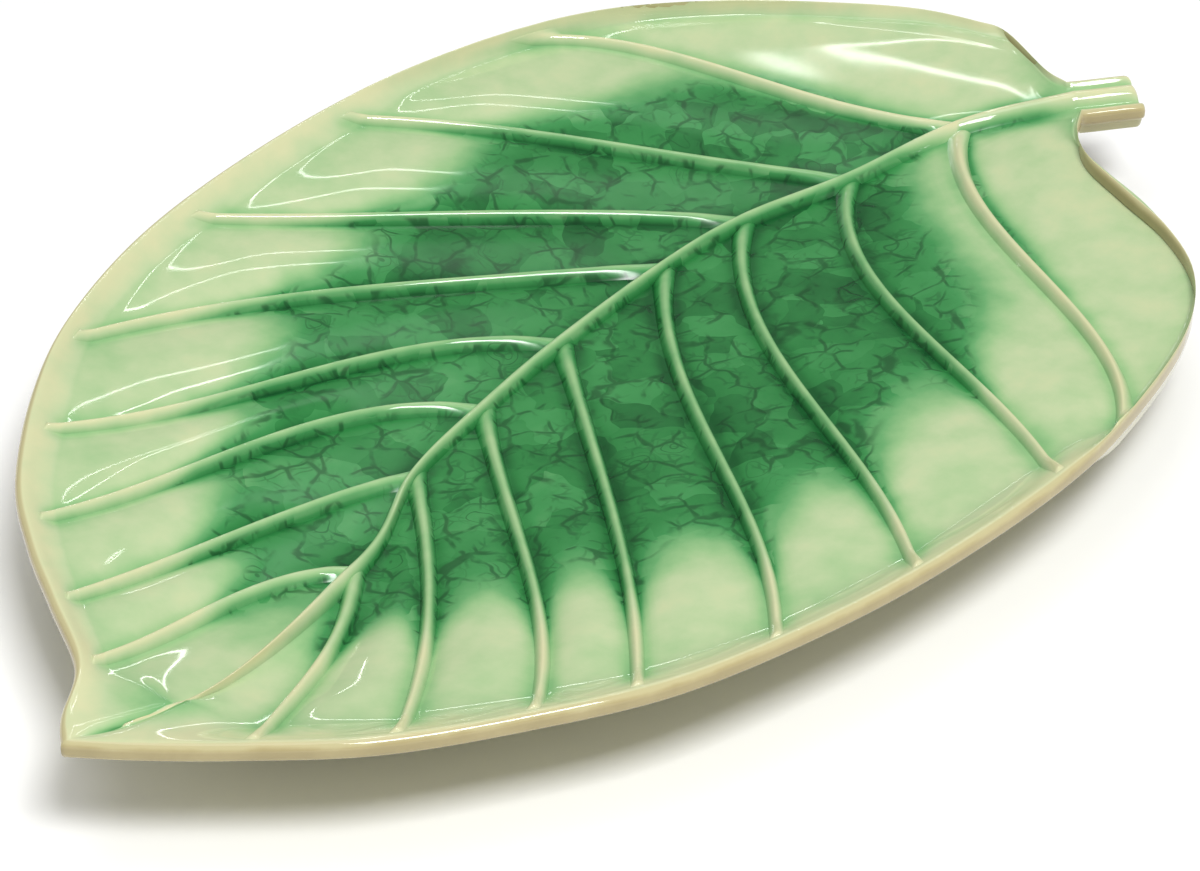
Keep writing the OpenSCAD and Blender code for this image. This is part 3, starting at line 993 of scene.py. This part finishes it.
class NodeTree:
    """A short hand for adding and joining shader nodes."""

    def __init__(self, tree: bpy.types.NodeTree) -> None:
        """Keeps the tree."""
        self.tree = tree
        self.count = 0

    def add(self, kind: str, values: dict | None = None, **settings: object) -> bpy.types.Node:
        """Adds a node, sets its properties and joins or sets its inputs.

        Args:
            kind: Node type.
            values: Input name or number to a constant or to another node's socket.
            settings: Properties of the node.

        Returns:
            The new node.
        """
        node = self.tree.nodes.new(kind)
        row, column = divmod(self.count, NODES_PER_ROW)
        node.location = (column * NODE_STEP[0], row * NODE_STEP[1])
        self.count += 1
        for label, setting in settings.items():
            setattr(node, label, setting)
        for label, value in (values or {}).items():
            socket = node.inputs[label]
            if isinstance(value, Socket):
                self.tree.links.new(value, socket)
            else:
                socket.default_value = value
        return node

    def maths(self, operation: str, *inputs: object, clamp: bool = False) -> Socket:
        """Adds a maths node and returns its result."""
        values = dict(enumerate(inputs))
        return self.add("ShaderNodeMath", values, operation=operation, use_clamp=clamp).outputs[0]

    def times(self, a: object, b: object) -> Socket:
        """Multiplies two values."""
        return self.maths("MULTIPLY", a, b)

    def less(self, value: object) -> Socket:
        """Takes a value from 1."""
        return self.maths("SUBTRACT", 1.0, value)

    def vector(self, operation: str, a: object, b: object) -> Socket:
        """Adds a vector maths node and returns its result."""
        return self.add("ShaderNodeVectorMath", {0: a, 1: b}, operation=operation).outputs[0]

    def noise(self, spot: Socket, scale: float, detail: float) -> Outputs:
        """Adds a noise texture and returns its outputs."""
        values = {"Vector": spot, "Scale": scale, "Detail": detail}
        return self.add("ShaderNodeTexNoise", values).outputs

    def ease(self, value: object, limits: Sequence) -> Socket:
        """Maps a value smoothly from 0 at the lower limit to 1 at the upper one."""
        values = {"Value": value, "From Min": limits[0], "From Max": limits[1]}
        node = self.add("ShaderNodeMapRange", values, interpolation_type="SMOOTHSTEP")
        return node.outputs["Result"]

    def mix(self, share: object, a: object, b: object) -> Socket:
        """Mixes two colours by a share."""
        return self.add("ShaderNodeMix", {0: share, 6: a, 7: b}, data_type="RGBA").outputs[2]

    def ramp(self, share: object, stops: Sequence) -> Socket:
        """Adds a colour ramp through stops of place and screen colour."""
        node = self.add("ShaderNodeValToRGB", {"Fac": share})
        elements = node.color_ramp.elements
        while len(elements) < len(stops):
            elements.new(0.5)
        for element, (place, colour) in zip(elements, stops):
            element.position = place
            element.color = linear(colour)
        return node.outputs["Color"]

    def surface(self, kind: str, values: dict) -> None:
        """Adds a shader and joins it to the material's output."""
        shader = self.add(kind, values).outputs["BSDF"]
        self.add("ShaderNodeOutputMaterial", {"Surface": shader})


def new_material(name: str) -> tuple[bpy.types.Material, NodeTree]:
    """Makes an empty material and the short hand for filling it."""
    material = bpy.data.materials.new(name)
    material.use_nodes = True
    material.node_tree.nodes.clear()
    return material, NodeTree(material.node_tree)


def crackle_group(finish: CrackFinish) -> bpy.types.NodeTree:
    """Cracks inside the glaze: uneven cells, fine branches and rings round some cells."""
    group = bpy.data.node_groups.new("glaze_crackle", "ShaderNodeTree")
    for label in ("Crack", "Cell", "Mottle"):
        group.interface.new_socket(name=label, in_out="OUTPUT", socket_type="NodeSocketFloat")
    nodes = NodeTree(group)
    spot = nodes.add("ShaderNodeTexCoord").outputs["Object"]
    sway = nodes.noise(spot, finish.warp_scale, 1.0)["Color"]
    shift = nodes.vector("SUBTRACT", sway, (0.5, 0.5, 0.5))
    pushed = nodes.vector("MULTIPLY", shift, (finish.warp_m, finish.warp_m, finish.warp_m))
    warped = nodes.vector("ADD", spot, pushed)
    flat = nodes.vector("MULTIPLY", warped, (1.0, 1.0, finish.flatten))
    uneven = nodes.noise(spot, finish.gap_scale, 2.0)["Fac"]
    broad = nodes.noise(spot, finish.ring_patch_scale, 1.0)["Fac"]
    scale = 1.0 / finish.cell_m

    def cells(number: float, feature: str) -> Outputs:
        """Cells, this number of them to the length of one plain cell."""
        return nodes.add("ShaderNodeTexVoronoi", {"Vector": flat, "Scale": scale * number},
                         feature=feature).outputs

    def lines(number: float, width: float, gaps: tuple) -> Socket:
        """Lines along the edges of cells, broken up by noise."""
        edges = cells(number, "DISTANCE_TO_EDGE")["Distance"]
        near = nodes.less(nodes.ease(edges, (width * finish.soft_share, width)))
        return nodes.times(near, nodes.ease(uneven, gaps))

    main = lines(1.0, finish.width, finish.gaps)
    fine = lines(finish.fine_cells, finish.fine_width, finish.fine_gaps)
    cell = cells(finish.ring_cells, "F1")
    reach = cell["Distance"]
    waves = nodes.maths("SINE", nodes.times(reach, finish.ring_waves))
    inner = nodes.less(nodes.ease(reach, finish.ring_reach))
    rings = nodes.times(nodes.ease(waves, finish.ring_crests), inner)
    tint = nodes.add("ShaderNodeSeparateColor", {"Color": cell["Color"]}).outputs
    chosen = nodes.times(rings, nodes.ease(tint[0], finish.ring_chosen))
    parted = nodes.times(chosen, nodes.ease(broad, finish.ring_patches))
    lined = nodes.maths("MAXIMUM", main, nodes.times(fine, finish.fine_share))
    crack = nodes.maths("MAXIMUM", lined, nodes.times(parted, finish.ring_share))
    cloud = nodes.noise(spot, finish.cloud_scale, 4.0)["Fac"]
    nodes.add("NodeGroupOutput", {"Crack": crack, "Cell": tint[1], "Mottle": cloud})
    return group


def glaze_material(finish: GlazeFinish, crackle: bpy.types.NodeTree) -> bpy.types.Material:
    """Makes the glaze, coloured by the depth that each piece carries.

    Args:
        finish: Colours and sizes of the glaze.
        crackle: Node group that draws the cracks.

    Returns:
        The new material.
    """
    material, nodes = new_material("celadon_glaze")
    depth = nodes.add("ShaderNodeAttribute", attribute_name="depth").outputs["Fac"]
    rim = nodes.add("ShaderNodeAttribute", attribute_name="rim").outputs["Fac"]
    cracks = nodes.add("ShaderNodeGroup", node_tree=crackle).outputs
    pooled = nodes.ease(depth, finish.crack_depths)
    cloud = nodes.times(nodes.maths("SUBTRACT", cracks["Mottle"], 0.5), finish.mottle)
    tint = nodes.times(nodes.maths("SUBTRACT", cracks["Cell"], 0.5),
                       nodes.times(pooled, finish.cell_tint))
    laid = nodes.maths("ADD", depth, nodes.maths("ADD", cloud, tint), clamp=True)
    strength = nodes.times(nodes.times(cracks["Crack"], pooled), finish.crack_mix)
    colour = nodes.mix(strength, nodes.ramp(laid, finish.stops), linear(finish.crack_colour))
    edge = nodes.mix(nodes.times(rim, finish.rim_mix), colour, linear(finish.rim_colour))
    dull = nodes.times(nodes.ease(depth, finish.pool_depths), finish.pool_roughness)
    rough = nodes.maths("ADD", dull, finish.roughness)
    nodes.surface("ShaderNodeBsdfPrincipled",
                  {"Base Color": edge, "Roughness": rough, "IOR": finish.ior})
    return material


def clay_material(finish: ClayFinish) -> bpy.types.Material:
    """Makes bare fired clay with grit."""
    material, nodes = new_material("fired_clay")
    spot = nodes.add("ShaderNodeTexCoord").outputs["Object"]
    grit = nodes.noise(spot, 1 / finish.grit_m, 3.0)["Fac"]
    darker = nodes.ease(grit, finish.dark_limits)
    colour = nodes.mix(darker, linear(finish.colour), linear(finish.dark))
    relief = {"Strength": finish.grit_strength, "Distance": finish.grit_h, "Height": grit}
    bump = nodes.add("ShaderNodeBump", relief).outputs["Normal"]
    nodes.surface("ShaderNodeBsdfPrincipled",
                  {"Base Color": colour, "Roughness": finish.roughness, "Normal": bump})
    return material


@dataclass
class LeafPlate:
    """The whole plate: leaf, midrib, sixteen side veins and foot ring."""

    form: LeafForm = field(default_factory=LeafForm)
    glaze: GlazeFinish = field(default_factory=GlazeFinish)
    cracks: CrackFinish = field(default_factory=CrackFinish)
    clay: ClayFinish = field(default_factory=ClayFinish)

    def build(self) -> list[Piece]:
        """Builds every piece in order and logs each one.

        Returns:
            The finished pieces.
        """
        glaze = glaze_material(self.glaze, crackle_group(self.cracks))
        clay = clay_material(self.clay)
        body = LeafBody(self.form)
        layers = ("clay_body", "green_glaze_left", "green_glaze_right",
                  "pale_glaze_left", "pale_glaze_right")
        pieces = [self.place(body.build(), glaze, "pale_glaze", layers)]
        pieces.append(self.place(Midrib(body).build(), glaze, "vein_glaze", ("midrib",)))
        for side in Side:
            for number in range(1, VEINS + 1):
                vein = SideVein(body, side=side, number=number)
                pieces.append(self.place(vein.build(), glaze, "vein_glaze", (vein.node,)))
        pieces.append(self.place(FootRing(self.form).build(), clay, "bare_clay", ("foot_ring",)))
        return pieces

    @staticmethod
    def place(piece: Piece, material: bpy.types.Material, slot: str,
              nodes: Sequence[str]) -> Piece:
        """Gives a piece its material and puts it in the place of its CAD nodes."""
        piece.data.materials.clear()
        piece.data.materials.append(material)
        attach(piece, BODY)
        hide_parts(*nodes)
        LOG.info("built %s with %d faces", piece.name, len(piece.data.polygons))
        return piece


@dataclass(frozen=True)
class Lamp:
    """A softbox that aims at the plate."""

    name: str
    azimuth: float
    elevation: float
    distance: float
    width: float
    depth: float
    watts: float


@dataclass(frozen=True)
class Studio:
    """White floor, softboxes and the camera."""

    floor_size: float = 8.0
    floor_grey: float = 0.93
    sky: float = 0.4
    sky_shine: float = 0.16
    sky_seen: float = 1.2
    lens: float = 108.0
    sensor: float = 36.0
    clip_start: float = 0.01
    look: tuple = (0.669, 0.472, -0.574)
    aim: tuple = (0.0001, -0.00055, 0.0)
    camera_distance: float = 0.6554
    lamps: tuple = (
        Lamp("softbox_near", 240.0, 60.0, 1.4, 0.5, 0.4, 15.0),
        Lamp("softbox_top", 100.0, 80.0, 1.4, 0.7, 0.7, 2.8),
        Lamp("strip_low", 40.0, 13.0, 1.5, 0.5, 0.014, 0.22),
        Lamp("frame_top", 30.0, 52.0, 1.5, 0.42, 0.014, 0.24),
        Lamp("frame_bottom", 30.0, 42.0, 1.5, 0.42, 0.012, 0.2),
        Lamp("frame_left", 42.0, 47.0, 1.5, 0.02, 0.26, 0.22),
        Lamp("frame_right", 18.0, 47.0, 1.5, 0.02, 0.26, 0.22),
    )

    def build(self) -> None:
        """Adds the floor, world, lamps and camera."""
        self.add_floor()
        self.add_world()
        for lamp in self.lamps:
            self.add_lamp(lamp)
        self.add_camera()

    def add_floor(self) -> None:
        """Adds a white floor that keeps the shadow."""
        clear_selection()
        bpy.ops.mesh.primitive_plane_add(size=self.floor_size)
        floor = bpy.context.object
        floor.name = "studio_floor"
        material, nodes = new_material("studio_paper")
        grey = (self.floor_grey, self.floor_grey, self.floor_grey, 1.0)
        nodes.surface("ShaderNodeBsdfDiffuse", {"Color": grey})
        floor.data.materials.append(material)

    def add_world(self) -> None:
        """Adds a soft surround that the camera sees as white and the glaze as grey."""
        world = bpy.data.worlds.new("studio_world")
        bpy.context.scene.world = world
        world.use_nodes = True
        world.node_tree.nodes.clear()
        nodes = NodeTree(world.node_tree)
        path = nodes.add("ShaderNodeLightPath").outputs
        strength = self.sky
        for ray, seen in (("Is Glossy Ray", self.sky_shine), ("Is Camera Ray", self.sky_seen)):
            strength = nodes.add("ShaderNodeMix", {0: path[ray], 2: strength, 3: seen},
                                 data_type="FLOAT").outputs[0]
        light = nodes.add("ShaderNodeBackground", {
            "Color": (1.0, 1.0, 1.0, 1.0), "Strength": strength,
        })
        nodes.add("ShaderNodeOutputWorld", {"Surface": light.outputs["Background"]})

    def add_lamp(self, lamp: Lamp) -> None:
        """Adds one softbox."""
        azimuth, elevation = math.radians(lamp.azimuth), math.radians(lamp.elevation)
        way = Vector((math.cos(azimuth) * math.cos(elevation),
                      math.sin(azimuth) * math.cos(elevation), math.sin(elevation)))
        bpy.ops.object.light_add(type="AREA", location=way * lamp.distance)
        light = bpy.context.object
        light.name = lamp.name
        light.rotation_euler = (-way).to_track_quat("-Z", "Y").to_euler()
        light.data.shape = "RECTANGLE"
        light.data.size = lamp.width
        light.data.size_y = lamp.depth
        light.data.energy = lamp.watts

    def add_camera(self) -> None:
        """Adds the camera and makes it the scene's."""
        look = Vector(self.look).normalized()
        bpy.ops.object.camera_add(location=Vector(self.aim) - look * self.camera_distance)
        camera = bpy.context.object
        camera.name = "studio_camera"
        camera.rotation_euler = look.to_track_quat("-Z", "Y").to_euler()
        camera.data.lens = self.lens
        camera.data.sensor_width = self.sensor
        camera.data.clip_start = self.clip_start
        bpy.context.scene.camera = camera
        bpy.context.scene.view_settings.view_transform = "Standard"


def write_sizes() -> None:
    """Brings the view layer up to date."""
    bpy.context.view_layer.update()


def main() -> None:
    """Builds the plate and the studio."""
    logging.basicConfig(level=logging.INFO, format="%(message)s")
    pieces = LeafPlate().build()
    LOG.info("%d pieces", len(pieces))
    Studio().build()
    write_sizes()


if __name__ == "__main__":
    main()
